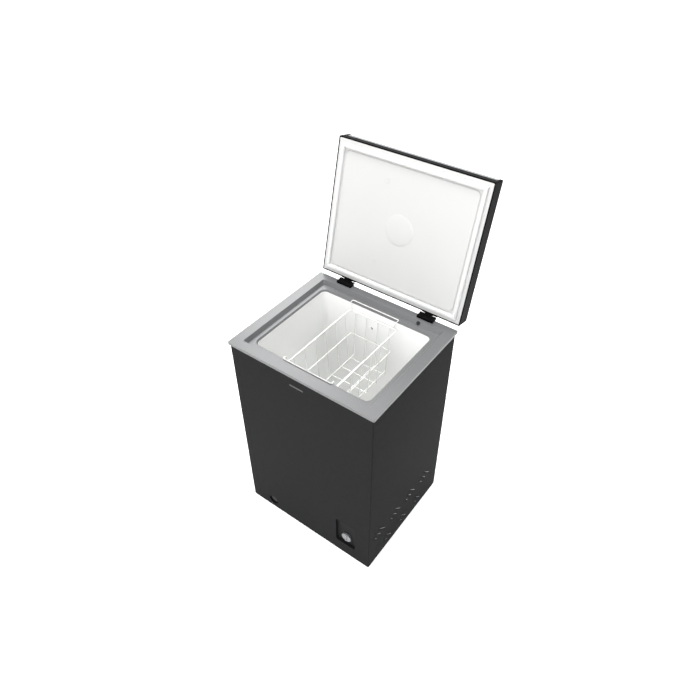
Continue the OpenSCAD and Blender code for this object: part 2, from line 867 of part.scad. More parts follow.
module control_cable() {
    y0 = thermo_y + 32;
    route = [[recess_x + 8, y0, dial_z - 8], [recess_x + 8, y0 + 18, dial_z - 8],
        [recess_x + 8, y0 + 18, floor_top + 12], [comp_x, y0 + 18, floor_top + 12],
        [comp_x, relay_y - relay_d - 14, floor_top + 12],
        [comp_x, relay_y - relay_d - 14, comp_base + 50],
        [comp_x, relay_y - relay_d, comp_base + 50]];
    color("#202124") pipe(route, 3);
}

module badge_plate() {
    color("#8d8f91") span([-32, -body_d / 2 - 0.6, badge_z - 3], [19, -body_d / 2, badge_z + 3]);
}

// ---- Drain ----

// Outside of the elbow tube from the liner's floor to the front, grown by t
module drain_outside(t) {
    r = drain_bore + drain_wall + t;
    translate([drain_x, drain_y, drain_z]) cylinder(h = liner_floor - drain_z, r = r, $fn = 40);
    translate([drain_x, drain_y, drain_z]) rotate([90, 0, 0])
        cylinder(h = drain_y - drain_spout_y, r = r, $fn = 40);
    translate([drain_x, drain_y, drain_z]) sphere(r = r, $fn = 40);
}

drain_spout_y = in_front + 9;

module drain_tube() {
    color("#dcdcda") difference() {
        drain_outside(0);
        translate([drain_x, drain_y, drain_z])
            cylinder(h = liner_floor - drain_z + 1, r = drain_bore, $fn = 40);
        translate([drain_x, drain_y, drain_z]) rotate([90, 0, 0])
            cylinder(h = drain_y - drain_spout_y + 1, r = drain_bore, $fn = 40);
        translate([drain_x, drain_y, drain_z]) sphere(r = drain_bore, $fn = 40);
    }
}

module drain_cup_outside(t) {
    translate([drain_x, in_front, drain_z]) rotate([-90, 0, 0]) {
        cylinder(h = drain_depth + drain_wall + t, r = drain_r + drain_wall, $fn = 48);
        cylinder(h = 1.5, r = drain_r + 6, $fn = 48);
    }
}

// Round cup set in the front panel, with the drain's spout in its floor
module drain_recess() {
    color("#333436") difference() {
        drain_cup_outside(0);
        translate([drain_x, in_front - 1, drain_z]) rotate([-90, 0, 0])
            cylinder(h = drain_depth + 1, r = drain_r, $fn = 48);
        translate([drain_x, in_front, drain_z]) rotate([-90, 0, 0])
            cylinder(h = drain_depth + drain_wall + 1, r = drain_bore + drain_wall + slip, $fn = 40);
        base_lip();
    }
}

module drain_cap() {
    cap_wall = 1.8;
    outer = drain_bore + drain_wall + gap + cap_wall;
    y0 = drain_back - gap;
    color("#141516") difference() {
        union() {
            translate([drain_x, y0, drain_z]) rotate([90, 0, 0])
                cylinder(h = y0 - in_front - 5, r = outer, $fn = 48);
            translate([drain_x, in_front + 8, drain_z]) rotate([90, 0, 0])
                cylinder(h = 3, r = drain_r - 4, $fn = 48);
        }
        translate([drain_x, y0 + 1, drain_z]) rotate([90, 0, 0])
            cylinder(h = y0 + 1 - drain_spout_y + gap, r = drain_bore + drain_wall + gap, $fn = 48);
    }
}

module drain_plug() {
    color("#f0f0ee") translate([drain_x, drain_y, liner_floor + gap]) {
        cylinder(h = 4, r = drain_bore + drain_wall + 4, $fn = 40);
        translate([0, 0, -14]) cylinder(h = 14 + eps, r = drain_bore - gap, $fn = 40);
        translate([-1.5, -6, 4 - eps]) cube([3, 12, 8]);
    }
}

// ---- Lid, drawn closed ----

module trim_outline(fit) {
    reach = lid_w - 2 * trim_inset + 2 * fit;
    translate([-reach / 2, 0, 0]) rotate([90, 0, 90]) linear_extrude(reach) polygon([
        [lid_front_y - 2 * fit, trim_z - fit], [lid_front_y + trim_depth + fit, trim_z - fit],
        [lid_front_y + trim_depth + fit, lid_top + 2 * fit],
        [lid_front_y + trim_lean - 2 * fit, lid_top + 2 * fit]]);
}

// Everything in front of the slanted grip, where the lid's own front is cut back
module trim_clearance() {
    reach = lid_w - 2 * trim_inset;
    translate([-reach / 2, 0, 0]) rotate([90, 0, 90]) linear_extrude(reach) polygon([
        [lid_front_y - 1, trim_z], [lid_front_y + trim_depth, trim_z],
        [lid_front_y + trim_depth, lid_top + 1], [lid_front_y - 1, lid_top + 1]]);
}

module lid_shell() {
    color("#2b2c2e") swing_open() difference() {
        block(lid_w, lid_d, lid_z, lid_top, 3, lid_y);
        difference() {
            block(lid_w - 2 * lid_frame, lid_d - 2 * lid_frame, lid_z - 1, lid_top - lid_skin, 2, lid_y);
            span([-rim_w, -rim_d, trim_z - lid_skin], [rim_w, lid_front_y + trim_depth + lid_skin, lid_top]);
        }
        trim_clearance();
        leaf_screw_holes();
    }
}

module lid_front_trim() {
    color("#8f9193") swing_open() trim_outline(0);
}

module lid_foam() {
    color("#e8d9a0") swing_open() difference() {
        union() {
            block(lid_w - 2 * lid_frame, lid_d - 2 * lid_frame, lid_z + lid_skin, lid_top - lid_skin, 2,
                lid_y);
            block(lid_w - 2 * panel_edge - 2 * lid_skin, lid_d - 2 * panel_edge - 2 * lid_skin,
                lid_z - panel_drop + lid_skin, lid_z + lid_skin + eps, 20, lid_y);
        }
        span([-rim_w, -rim_d, trim_z - lid_skin], [rim_w, lid_front_y + trim_depth + lid_skin, lid_top]);
        leaf_screw_holes();
    }
}

module lid_inner_panel() {
    color("#f4f4f2") swing_open() difference() {
        union() {
            block(lid_w - 2 * (lid_frame + panel_fit), lid_d - 2 * (lid_frame + panel_fit), lid_z,
                lid_z + lid_skin, 2, lid_y);
            block(lid_w - 2 * panel_edge, lid_d - 2 * panel_edge, lid_z - panel_drop, lid_z + lid_skin,
                20, lid_y);
            translate([0, lid_y, lid_z - panel_drop - dome_drop])
                cylinder(h = dome_drop + 1, r = dome_r, $fn = 64);
        }
        block(lid_w - 2 * panel_edge - 2 * lid_skin, lid_d - 2 * panel_edge - 2 * lid_skin,
            lid_z - panel_drop + lid_skin, lid_z + lid_skin + 1, 20, lid_y);
    }
}

module lid_gasket() {
    outer_w = lid_w - 2 * gasket_in;
    outer_d = lid_d - 2 * gasket_in;
    color("#fafafa") swing_open() difference() {
        block(outer_w, outer_d, rim_z + gap, lid_z, 6, lid_y);
        block(outer_w - 2 * gasket_w, outer_d - 2 * gasket_w, rim_z, lid_z + 1, 2, lid_y);
    }
}

module lid_plugs() {
    color("#e9e9e7") swing_open() for (place = lid_plug_places) {
        translate([place.x, lid_y + place.y, lid_z - panel_drop - lid_plug_h])
            cylinder(h = lid_plug_h, r = lid_plug_r, $fn = 32);
    }
}

// ---- Hinges ----

module knuckle(x0, x1) {
    translate([x0, axis_y, axis_z]) rotate([0, 90, 0]) cylinder(h = x1 - x0, r = knuckle_r, $fn = 48);
}

module pin_bore() {
    translate([-hinge_w, axis_y, axis_z]) rotate([0, 90, 0])
        cylinder(h = 2 * hinge_w, r = pin_r + slip, $fn = 48);
}

// Half fixed to the cabinet: a block on the collar's back band and a plate down its rear face
module hinge_base(side) {
    half = hinge_w / 2;
    slot = leaf_knuckle / 2 + gap;
    plate_y = rim_d / 2 + 0.2;
    color("#101112") translate([side * hinge_x, 0, 0]) difference() {
        union() {
            span([-half, base_front, rim_z], [half, axis_y, base_top]);
            span([-half, plate_y, base_foot], [half, plate_y + leaf_t, rim_z + 1]);
            span([-half, in_back + sheet, base_foot], [half, plate_y + 1, rim_z - skirt_h - 1]);
            knuckle(-half, half);
        }
        span([-slot, lid_back_y - 0.5, rim_z - 0.6], [slot, rim_d, lid_top]);
        translate([-hinge_w, base_front, rim_z + 4]) rotate([40, 0, 0]) translate([0, -10, 0])
            cube([2 * hinge_w, 10, 20]);
        pin_bore();
        for (dx = [-1, 1]) {
            screw_hole(dx * screw_span, in_back, axis_y + 20, base_screw_z);
        }
    }
}

module hinge_base_left() {
    hinge_base(-1);
}

module hinge_base_right() {
    hinge_base(1);
}

module hinge_pins() {
    reach = hinge_w - 1;
    color("#b4b7bb") for (side = [-1, 1]) {
        translate([side * hinge_x - reach / 2, axis_y, axis_z]) rotate([0, 90, 0])
            cylinder(h = reach, r = pin_r, $fn = 48);
    }
}

// Half fixed to the lid: a plate on the lid's back edge with the middle knuckle below it
module hinge_leaf(side) {
    y0 = lid_back_y + 0.2;
    web = leaf_knuckle / 2 - gap;
    color("#141516") swing_open() translate([side * hinge_x, 0, 0]) difference() {
        union() {
            span([-leaf_w / 2, y0, leaf_z0], [leaf_w / 2, y0 + leaf_t, leaf_z0 + leaf_h]);
            span([-web, y0, axis_z - 2.5], [web, y0 + leaf_t + 1, leaf_z0 + 1]);
            knuckle(-web, web);
        }
        pin_bore();
        for (dx = [-1, 1]) {
            screw_hole(dx * screw_span, y0 - 1, y0 + 20, leaf_screw_z);
        }
    }
}

module hinge_leaf_left() {
    hinge_leaf(-1);
}

module hinge_leaf_right() {
    hinge_leaf(1);
}

module hinge_body_screws() {
    color("#a0a3a6") for (side = [-1, 1], dx = [-1, 1]) {
        back_screw(side * hinge_x + dx * screw_span, rim_d / 2 + 0.2 + leaf_t, base_screw_z,
            screw_len + 2);
    }
}

module hinge_lid_screws() {
    color("#a0a3a6") swing_open() for (side = [-1, 1], dx = [-1, 1]) {
        back_screw(side * hinge_x + dx * screw_span, lid_back_y + 0.2 + leaf_t, leaf_screw_z, screw_len);
    }
}

module leaf_screw_holes() {
    for (side = [-1, 1], dx = [-1, 1]) {
        screw_hole(side * hinge_x + dx * screw_span, lid_back_y - screw_len, rim_d, leaf_screw_z);
    }
}

// ---- Basket ----

half_l = basket_l / 2 - frame_wire;
half_w = basket_w / 2;
foot_w = half_w - basket_lean;
foot_l = half_l - basket_lean;

module quarter_bend(x, y, turn) {
    translate([x, y, basket_top]) rotate([0, 0, turn]) rotate_extrude(angle = 90, $fn = 48)
        translate([corner_r, 0]) circle(r = frame_wire, $fn = 24);
}

module top_wire() {
    sx = half_w - corner_r;
    sy = half_l - corner_r;
    for (s = [-1, 1]) {
        translate([-sx, s * half_l, basket_top]) rotate([0, 90, 0])
            cylinder(h = 2 * sx, r = frame_wire, $fn = 24);
        translate([s * half_w, sy, basket_top]) rotate([90, 0, 0])
            cylinder(h = 2 * sy, r = frame_wire, $fn = 24);
    }
    quarter_bend(sx, sy, 0);
    quarter_bend(-sx, sy, 90);
    quarter_bend(-sx, -sy, 180);
    quarter_bend(sx, -sy, 270);
}

// Share of the way from the top wire to the foot at height z
function lean_at(z) = (basket_top - z) / basket_h;

module basket() {
    inner = frame_wire + wire - weld;
    long_z = basket_foot + 3 * wire - weld;
    cross_z = basket_foot + wire;
    color("#f5f5f3") translate([basket_x, 0, 0]) {
        top_wire();
        for (i = [0:long_wires - 1]) {
            x = (i - (long_wires - 1) / 2) * long_pitch;
            pipe([[x, inner - half_l, basket_top + wire_rise], [x, -foot_l, long_z], [x, foot_l, long_z],
                [x, half_l - inner, basket_top + wire_rise]], wire, 8);
        }
        for (i = [0:cross_wires - 1]) {
            y = (i - (cross_wires - 1) / 2) * cross_pitch;
            pipe([[inner - half_w, y, basket_top + wire_rise], [-foot_w, y, cross_z], [foot_w, y, cross_z],
                [half_w - inner, y, basket_top + wire_rise]], wire, 8);
        }
        hoop(hoop_z, wire);
    }
}

// Level wire round the basket's inside, welded to the upright ones
module hoop(z, r) {
    share = lean_at(z);
    hx = half_w - basket_lean * share - frame_wire - 2 * r + weld;
    hy = half_l - basket_lean * share - frame_wire - 2 * r + weld;
    pipe([[-hx, -hy, z], [hx, -hy, z], [hx, hy, z], [-hx, hy, z], [-hx, -hy, z]], r, 8);
}

// Bail with an eye round the basket's end wire at each foot; side is -1 at the front
module basket_handle(side) {
    y0 = side * half_l;
    color("#f5f5f3") translate([basket_x, 0, 0]) difference() {
        union() {
            for (s = [-1, 1]) {
                translate([s * eye_x - eye_w / 2, y0, basket_top]) rotate([0, 90, 0])
                    cylinder(h = eye_w, r = frame_wire + slip + eye_t, $fn = 32);
            }
            pipe([[-eye_x, y0, basket_top + frame_wire + 1], [-handle_w / 2, y0, handle_z],
                [-handle_w / 2, y0 + side * handle_reach, handle_z],
                [handle_w / 2, y0 + side * handle_reach, handle_z],
                [handle_w / 2, y0, handle_z], [eye_x, y0, basket_top + frame_wire + 1]], wire, 8);
        }
        translate([-basket_w, y0, basket_top]) rotate([0, 90, 0])
            cylinder(h = 2 * basket_w, r = frame_wire + slip, $fn = 32);
    }
}

module basket_handle_front() {
    basket_handle(-1);
}

module basket_handle_rear() {
    basket_handle(1);
}

cabinet_shell();
rear_panel();
base_pan();
bay_panel();
foam_body();
liner();
collar();
collar_plug();
sensor_cap();
evaporator_coil();
condenser_coil();
compressor();
compressor_grommets();
compressor_bolts();
relay_cover();
filter_drier();
capillary_tube();
suction_pipe();
discharge_pipe();
liquid_line();
rear_cover();
cover_screws();
cord_gland();
feet();
control_panel();
thermostat_body();
sensor_tube();
control_cable();
badge_plate();
drain_tube();
drain_recess();
hinge_base_left();
hinge_base_right();
hinge_pins();
hinge_body_screws();
lid_shell();
lid_front_trim();
lid_foam();
lid_inner_panel();
lid_gasket();
lid_plugs();
hinge_leaf_left();
hinge_leaf_right();
hinge_lid_screws();
thermostat_dial();
thermostat_spindle();
drain_cap();
drain_plug();
basket();
basket_handle_front();
basket_handle_rear();
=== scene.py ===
import math

import bpy
from mathutils import Matrix, Vector


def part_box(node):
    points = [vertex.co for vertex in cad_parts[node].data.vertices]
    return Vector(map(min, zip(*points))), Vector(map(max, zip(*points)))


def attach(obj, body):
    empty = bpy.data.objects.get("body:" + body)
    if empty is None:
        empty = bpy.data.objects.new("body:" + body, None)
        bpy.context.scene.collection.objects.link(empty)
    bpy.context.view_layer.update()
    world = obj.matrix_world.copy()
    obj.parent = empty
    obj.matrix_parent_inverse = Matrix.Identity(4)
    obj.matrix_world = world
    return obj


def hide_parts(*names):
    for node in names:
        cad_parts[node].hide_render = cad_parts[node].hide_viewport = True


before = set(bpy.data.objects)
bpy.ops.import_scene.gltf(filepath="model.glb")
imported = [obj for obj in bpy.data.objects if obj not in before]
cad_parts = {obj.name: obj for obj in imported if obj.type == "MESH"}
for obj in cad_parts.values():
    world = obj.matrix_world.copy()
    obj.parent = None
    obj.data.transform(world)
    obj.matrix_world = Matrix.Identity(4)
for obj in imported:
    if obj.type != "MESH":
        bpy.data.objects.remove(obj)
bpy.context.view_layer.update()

# ---- Camera ----
# It stands in front, to the right and well above, looking down into the open cabinet, with a lens a little
# wider than normal, so that the uprights lean together towards the floor.
camera_data = bpy.data.cameras.new("camera")
camera_data.lens = 32.32
camera_data.sensor_width = 36
camera = bpy.data.objects.new("camera", camera_data)
camera.location = (0.8863, -1.1800, 2.0498)
camera.rotation_euler = (math.radians(90 - 41.81), 0, math.radians(36.18))
bpy.context.collection.objects.link(camera)
bpy.context.scene.camera = camera

# ---- Floor and light ----
# A studio table of opal acrylic lit from below, so that it stays white round the cabinet, a pale sky, and
# three soft boxes: one in front, one overhead, and a bright one behind on the left.


def linear(code):
    """A colour written as sRGB hex, as the four linear numbers that a shader takes."""
    parts = [int(code[i:i + 2], 16) / 255 for i in (1, 3, 5)]
    return [p / 12.92 if p <= 0.04045 else ((p + 0.055) / 1.055) ** 2.4 for p in parts] + [1]


def add_node(material, kind, settings=None, links=None):
    """A shader node, with its settings by name or socket number and the sockets that feed it."""
    node = material.node_tree.nodes.new("ShaderNode" + kind)
    for key, value in (settings or {}).items():
        if isinstance(key, int) or key in node.inputs:
            node.inputs[key].default_value = value
        else:
            setattr(node, key, value)
    for key, source in (links or {}).items():
        material.node_tree.links.new(source, node.inputs[key])
    return node


def new_material(name, **sockets):
    """A material with its main shader's own values set. Underscores in the names stand for spaces."""
    material = bpy.data.materials.new(name)
    material.use_nodes = True
    shader = material.node_tree.nodes["Principled BSDF"]
    for key, value in sockets.items():
        shader.inputs[key.replace("_", " ")].default_value = value
    return material, shader


def surface(material, shader, colours, roughness, grain, depth, detail=3):
    """Mottles a material's colour and roughness and raises its grain. Grain and depth are in mm."""
    spots = add_node(material, "TexCoord").outputs["Object"]
    coarse = add_node(material, "TexNoise", {"Scale": 160 / grain, "Detail": 2}, {"Vector": spots})
    fine = add_node(material, "TexNoise", {"Scale": 1000 / grain, "Detail": detail}, {"Vector": spots})
    tint = add_node(material, "Mix", {"data_type": "RGBA", 6: linear(colours[0]), 7: linear(colours[1])},
                    {0: coarse.outputs["Fac"]})
    gloss = add_node(material, "MapRange", {"To Min": roughness[0], "To Max": roughness[1]},
                     {"Value": fine.outputs["Fac"]})
    relief = add_node(material, "Bump", {"Strength": 0.6, "Distance": depth / 1000},
                      {"Height": fine.outputs["Fac"]})
    link = material.node_tree.links.new
    link(tint.outputs[2], shader.inputs["Base Color"])
    link(gloss.outputs["Result"], shader.inputs["Roughness"])
    link(relief.outputs["Normal"], shader.inputs["Normal"])


# Opal acrylic, cast and sanded matt: an even white with hardly any shadow
opal_acrylic, shader = new_material("opal_acrylic", Emission_Color=(1, 1, 1, 1), Emission_Strength=0.55)
surface(opal_acrylic, shader, ("#f6f6f6", "#fbfbfb"), (0.8, 0.9), 4, 0.02)
bpy.ops.mesh.primitive_plane_add(size=40, location=(0, 0, 0))
floor = bpy.context.object
floor.name = "studio_floor"
floor.data.materials.append(opal_acrylic)

# The sky: white, brighter on the left than on the right
world = bpy.data.worlds.new("studio_sky")
world.use_nodes = True
way = add_node(world, "TexCoord").outputs["Generated"]
sideways = add_node(world, "SeparateXYZ", {}, {"Vector": way}).outputs["X"]
level = add_node(world, "MapRange", {"From Min": -1, "From Max": 1, "To Min": 1.2, "To Max": 0.15},
                 {"Value": sideways})
background = world.node_tree.nodes["Background"]
background.inputs["Color"].default_value = (1, 1, 1, 1)
world.node_tree.links.new(level.outputs["Result"], background.inputs["Strength"])
bpy.context.scene.world = world
bpy.context.scene.view_settings.view_transform = "Standard"


def soft_box(name, place, aim, width, power):
    """A square area light at place, facing aim."""
    data = bpy.data.lights.new(name, "AREA")
    data.size = width
    data.energy = power
    light = bpy.data.objects.new(name, data)
    light.location = place
    light.rotation_euler = (Vector(aim) - Vector(place)).to_track_quat("-Z", "Y").to_euler()
    bpy.context.collection.objects.link(light)


soft_box("front_light", (0.3, -2.9, 1.5), (0, 0, 0.6), 1.6, 52)
soft_box("overhead_light", (0.05, 0.3, 3.3), (0, 0, 0.5), 1.2, 84)
soft_box("rear_left_light", (-1.95, 2.0, 3.0), (-0.1, 0, 0.78), 1.3, 37)

# ---- Cabinet wrap ----
# One sheet of black prepainted steel, 0.8 mm thick, bent round the left, front and right sides with its back
# edges folded in. The control and drain openings and the compressor's vents are punched before bending.


def select_only(piece):
    """Leaves edit mode, and makes this the one object chosen."""
    if bpy.context.object and bpy.context.object.mode == "EDIT":
        bpy.ops.object.mode_set(mode="OBJECT")
    bpy.ops.object.select_all(action="DESELECT")
    piece.select_set(True)
    bpy.context.view_layer.objects.active = piece


def settle(piece, name, material, slot, body, *nodes):
    """Names a finished piece, gives it its material, sets it on its body and hides what it stands for. The slot is not
    used.
    """
    select_only(piece)
    piece.name = name
    piece.data.materials.clear()
    piece.data.materials.append(material)
    if nodes:
        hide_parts(*nodes)
    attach(piece, body)
    return piece


def apply_modifier(piece, kind, **settings):
    """Adds a modifier with these settings and applies it at once."""
    select_only(piece)
    modifier = piece.modifiers.new(kind.lower(), kind)
    for key, value in settings.items():
        setattr(modifier, key, value)
    bpy.ops.object.modifier_apply(modifier=modifier.name)


def smooth(piece, angle=35):
    """Shades a piece smooth, except across edges sharper than the angle, and keeps its flats flat."""
    select_only(piece)
    bpy.ops.object.shade_smooth_by_angle(angle=math.radians(angle))
    apply_modifier(piece, "WEIGHTED_NORMAL", keep_sharp=True, weight=100)


def softened(node, radius, segments=2):
    """A copy of a CAD piece with its edges rounded by radius mm, as its press or mould leaves them."""
    piece = bpy.data.objects.new(node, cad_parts[node].data.copy())
    bpy.context.collection.objects.link(piece)
    select_only(piece)
    bpy.ops.object.mode_set(mode="EDIT")
    bpy.ops.mesh.select_all(action="SELECT")
    bpy.ops.mesh.remove_doubles(threshold=0.00001)
    bpy.ops.mesh.dissolve_limited(angle_limit=math.radians(0.5))
    bpy.ops.object.mode_set(mode="OBJECT")
    if radius:
        apply_modifier(piece, "BEVEL", width=radius / 1000, segments=segments, limit_method="ANGLE",
                       angle_limit=math.radians(38))
    smooth(piece)
    return piece


def finish(material, *nodes):
    """The CAD pieces named take the material as they are."""
    for name in nodes:
        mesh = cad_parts[name].data
        mesh.materials.clear()
        mesh.materials.append(material)


# Coil-coated steel: polyester paint baked on, satin black with a faint orange peel about 3 mm across
black_steel, shader = new_material("prepainted_black_steel", Specular_IOR_Level=0.01)
surface(black_steel, shader, ("#222223", "#262627"), (0.46, 0.54), 3, 0.03)
settle(softened("cabinet_shell", 0.25), "cabinet_wrap", black_steel, "black_steel", "cabinet", "cabinet_shell")

# ---- Vent louvres ----
# A narrow hood is pressed out of the sheet along one edge of each slanted vent slot, open towards the slot,
# so that air leaves the compressor bay and drips run past it.


def merge(parts):
    """Several meshes as one piece, which keeps the first one's name and data."""
    bpy.ops.object.select_all(action="DESELECT")
    for part in parts:
        part.select_set(True)
    bpy.context.view_layer.objects.active = parts[0]
    bpy.ops.object.join()
    return bpy.context.object


vent_rows = [(0, 149, 56), (-20, 140, 36), (-41, 135, 22), (52, 46, 26), (36, 64, 12), (28, 44, 14)]
wrap_low, wrap_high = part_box("cabinet_shell")
first_vent_y = wrap_low.y + 0.0768
vent_pitch, slot_angle = 0.098, math.radians(45)
hood_reach, hood_half_w, hood_sink = 0.0034, 0.0042, 0.0002
hoods = []
for group in range(4):
    for offset, height, length in vent_rows[:6 if group < 3 else 3]:
        bpy.ops.object.select_all(action="DESELECT")
        bpy.ops.mesh.primitive_uv_sphere_add(segments=16, ring_count=12, radius=1)
        hood = bpy.context.object
        bpy.ops.object.mode_set(mode="EDIT")
        bpy.ops.mesh.select_all(action="SELECT")
        bpy.ops.mesh.bisect(plane_co=(0, 0, 0), plane_no=(1, 0, 0), clear_inner=True)
        bpy.ops.mesh.select_all(action="SELECT")
        bpy.ops.mesh.bisect(plane_co=(0, 0.45, 0), plane_no=(0, 1, 0), clear_inner=True)
        bpy.ops.object.mode_set(mode="OBJECT")
        centre = Vector((wrap_high.x - hood_sink, first_vent_y + vent_pitch * group + offset / 1000,
                         wrap_low.z + 0.0012 + height / 1000))
        size = Matrix.Diagonal((hood_reach, hood_half_w, (length / 2 + 3) / 1000, 1))
        hood.data.transform(Matrix.Translation(centre) @ Matrix.Rotation(slot_angle, 4, "X") @ size)
        hoods.append(hood)
louvres = merge(hoods)
apply_modifier(louvres, "SOLIDIFY", thickness=0.0007, offset=-1)
smooth(louvres)
# Where the press stretched the paint over the hoods it is thinner and glossier, so their lips catch the light
stretched_paint, shader = new_material("stretched_black_paint", Specular_IOR_Level=0.5)
surface(stretched_paint, shader, ("#1a1a1b", "#202021"), (0.14, 0.24), 3, 0.03)
settle(louvres, "vent_louvres", stretched_paint, "black_steel", "cabinet")

# ---- Base plate, back panel and bay panel ----
# Galvanised steel, pressed and folded: the base carries the feet and the compressor, the back panel closes the
# wrap, and the bay panel walls the compressor off from the foam. Zinc spangle shows on all three.

# Hot-dip galvanised sheet: grey zinc crystals about 9 mm across, each with its own sheen
galvanised_steel, shader = new_material("galvanised_steel", Metallic=1.0)
spots = add_node(galvanised_steel, "TexCoord").outputs["Object"]
spangle = add_node(galvanised_steel, "TexVoronoi", {"Scale": 110}, {"Vector": spots})
tint = add_node(galvanised_steel, "Mix", {"data_type": "RGBA", 6: linear("#8f9396"), 7: linear("#b4b8ba")},
                {0: spangle.outputs["Color"]})
gloss = add_node(galvanised_steel, "MapRange", {"To Min": 0.34, "To Max": 0.52},
                 {"Value": spangle.outputs["Color"]})
galvanised_steel.node_tree.links.new(tint.outputs[2], shader.inputs["Base Color"])
galvanised_steel.node_tree.links.new(gloss.outputs["Result"], shader.inputs["Roughness"])
settle(softened("base_pan", 0.3), "base_plate", galvanised_steel, "galvanised_steel", "cabinet", "base_pan")
settle(softened("rear_panel", 0.2), "back_sheet", galvanised_steel, "galvanised_steel", "cabinet", "rear_panel")
finish(galvanised_steel, "bay_panel")

# ---- Feet ----
# Four moulded rubber feet with a stepped foot and a shallow dished sole, each pushed into the base plate by
# a barbed stub.

# Black nitrile rubber: matt, with a fine bloom of dust-grey
nitrile_rubber, shader = new_material("nitrile_rubber", Specular_IOR_Level=0.3)
surface(nitrile_rubber, shader, ("#19191a", "#232324"), (0.72, 0.86), 2, 0.06)
feet_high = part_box("feet")[1]
foot_radius, foot_height = 0.016, 0.01
feet = []
for side_x in (-1, 1):
    for side_y in (-1, 1):
        bpy.ops.object.select_all(action="DESELECT")
        bpy.ops.mesh.primitive_cylinder_add(vertices=48, radius=foot_radius, depth=foot_height, location=(
            side_x * (feet_high.x - foot_radius), side_y * (feet_high.y - foot_radius), foot_height / 2))
        foot = bpy.context.object
        bpy.ops.object.transform_apply(location=True, rotation=False, scale=False)
        bpy.ops.object.mode_set(mode="EDIT")
        bpy.ops.mesh.select_mode(type="FACE")
        bpy.ops.mesh.select_all(action="DESELECT")
        bpy.ops.object.mode_set(mode="OBJECT")
        for face in foot.data.polygons:
            face.select = abs(face.normal.z) > 0.9
        bpy.ops.object.mode_set(mode="EDIT")
        bpy.ops.mesh.inset(thickness=0.004, depth=0)
        bpy.ops.mesh.inset(thickness=0.0015, depth=-0.0015)
        bpy.ops.object.mode_set(mode="OBJECT")
        feet.append(foot)
rubber_feet = merge(feet)
apply_modifier(rubber_feet, "BEVEL", width=0.0008, segments=2, limit_method="ANGLE")
smooth(rubber_feet)
settle(rubber_feet, "rubber_feet", nitrile_rubber, "black_rubber", "cabinet", "feet")

# ---- Foam ----
# Polyurethane foam, poured between the steel and the liner and left to rise and set, so it holds the whole
# cabinet together. The lid has its own slab.

# Closed-cell foam: cream, matt, with open cells about 1.5 mm across where it was cut or touched a wall
rigid_foam, shader = new_material("rigid_polyurethane_foam", Roughness=0.9, Specular_IOR_Level=0.2)
spots = add_node(rigid_foam, "TexCoord").outputs["Object"]
cells = add_node(rigid_foam, "TexVoronoi", {"Scale": 650}, {"Vector": spots})
age = add_node(rigid_foam, "TexNoise", {"Scale": 14, "Detail": 3}, {"Vector": spots})
tint = add_node(rigid_foam, "Mix", {"data_type": "RGBA", 6: linear("#e9d8a2"), 7: linear("#d9c383")},
                {0: age.outputs["Fac"]})
relief = add_node(rigid_foam, "Bump", {"Strength": 0.7, "Distance": 0.0006},
                  {"Height": cells.outputs["Distance"]})
rigid_foam.node_tree.links.new(tint.outputs[2], shader.inputs["Base Color"])
rigid_foam.node_tree.links.new(relief.outputs["Normal"], shader.inputs["Normal"])
finish(rigid_foam, "foam_body", "lid_foam")

# ---- Liner ----
# White polystyrene sheet, drawn down over a mould in one piece, so its corners are generously round. It steps
# up over the compressor bay, and its rim is turned out under the collar.


def choose(piece, kind, test):
    """Opens a piece in edit mode with only the FACE or EDGE elements that pass the test."""
    select_only(piece)
    bpy.ops.object.mode_set(mode="EDIT")
    bpy.ops.mesh.select_mode(type=kind)
    bpy.ops.mesh.select_all(action="DESELECT")
    bpy.ops.object.mode_set(mode="OBJECT")
    if kind == "FACE":
        for face in piece.data.polygons:
            face.select = test(face.center, face.normal)
    else:
        for edge in piece.data.edges:
            edge.select = test(*(piece.data.vertices[i].co for i in edge.vertices))
    bpy.ops.object.mode_set(mode="EDIT")


def slab(low, high):
    """A cube primitive set between two corners, with its place in its mesh."""
    bpy.ops.object.select_all(action="DESELECT")
    bpy.ops.mesh.primitive_cube_add(size=1, location=(Vector(low) + Vector(high)) / 2)
    piece = bpy.context.object
    piece.scale = Vector(high) - Vector(low)
    bpy.ops.object.transform_apply(location=True, rotation=False, scale=True)
    return piece


def push(vector):
    """Extrudes what is chosen along a vector."""
    bpy.ops.mesh.extrude_region_move(TRANSFORM_OT_translate={"value": vector})


# High-impact polystyrene, vacuum formed: white and satin, with long soft waves and hardly any grain
liner_polystyrene, shader = new_material("white_polystyrene_liner", IOR=1.55, Specular_IOR_Level=0.4)
surface(liner_polystyrene, shader, ("#f7f8f7", "#f9f9f8"), (0.34, 0.44), 25, 0.08)
liner_low, liner_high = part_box("liner")
half_w, half_d = 0.213, 0.172
step_x, step_z = 0.0744, 0.263
corner, rim_flange, drain_radius = 0.018, 0.012, 0.009
tank_floor = liner_low.z + 0.001
liner = slab((-half_w, -half_d, tank_floor), (step_x, half_d, step_z))
choose(liner, "FACE", lambda centre, normal: normal.z > 0.9)
push((0, 0, liner_high.z - step_z))
choose(liner, "FACE", lambda centre, normal: normal.x > 0.9 and centre.z > step_z)
push((half_w - step_x, 0, 0))
choose(liner, "FACE", lambda centre, normal: normal.z > 0.9 and centre.z > liner_high.z - 0.001)
bpy.ops.mesh.delete(type="FACE")
bpy.ops.mesh.select_all(action="SELECT")
bpy.ops.mesh.remove_doubles(threshold=0.00001)
bpy.ops.mesh.dissolve_limited(angle_limit=math.radians(0.5))
bpy.ops.object.mode_set(mode="OBJECT")
choose(liner, "EDGE", lambda a, b: (a.z + b.z) / 2 < liner_high.z - 0.001)
bpy.ops.mesh.bevel(offset=corner, offset_type="OFFSET", segments=7, affect="EDGES", clamp_overlap=False)
bpy.ops.mesh.select_all(action="SELECT")
bpy.ops.mesh.normals_make_consistent(inside=True)
